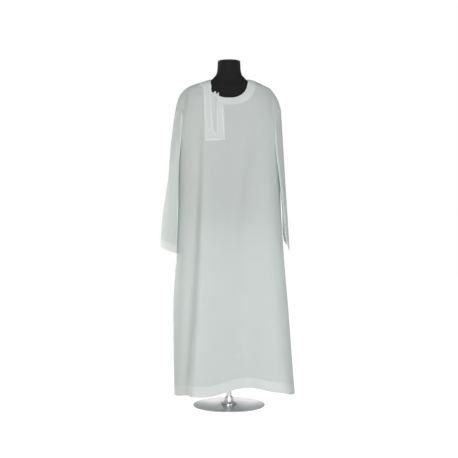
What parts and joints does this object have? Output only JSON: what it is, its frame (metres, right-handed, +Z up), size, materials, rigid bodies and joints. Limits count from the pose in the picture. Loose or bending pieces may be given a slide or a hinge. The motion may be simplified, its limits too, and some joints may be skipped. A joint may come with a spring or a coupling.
{
  "type": "alb robe on a dress form",
  "caption": "Long plain robe with long straight sleeves, a round stitched neck band and a short zip in a placket, worn by a limbless form on a round base.",
  "frame": {"origin": "on the floor under the stand's pole, the middle of the base plate's underside", "axes": "+Z up; the robe's front faces -Y; +X is to the right of someone who looks at the front"},
  "size_m": [0.625, 0.387, 1.5823],
  "materials": {
    "cloth_white": "plain weave, matt, slightly sheer",
    "tape_white": "woven zip tape, matt",
    "zip_metal": "white enamel, semi-gloss",
    "form_jersey": "fine black jersey, matt",
    "form_cap": "black, satin",
    "stand_steel": "satin"
  },
  "bodies": {
    "robe_and_form": {"front": "cloth_white", "back": "cloth_white", "sleeve_left": "cloth_white", "sleeve_right": "cloth_white", "neck_band_front": "cloth_white", "neck_band_back": "cloth_white", "placket": "cloth_white", "zip_tape_left": "tape_white", "zip_tape_right": "tape_white", "zip_slider": "zip_metal", "zip_bottom_stop": "zip_metal", "form_torso": "form_jersey", "form_neck_cap": "form_cap", "stand_base": "stand_steel", "stand_boss": "stand_steel", "stand_pole": "stand_steel", "stand_collar": "stand_steel"},
    "pull_tab": {"zip_pull": "zip_metal"}
  },
  "joints": [
    {"name": "pull_swing", "type": "hinge", "parent": "robe_and_form", "child": "pull_tab", "pos_m": [-0.06245, -0.09886, 1.42443], "axis": [-0.9979, 0.0513, -0.0397], "range_deg": [0, 170]}
  ]
}
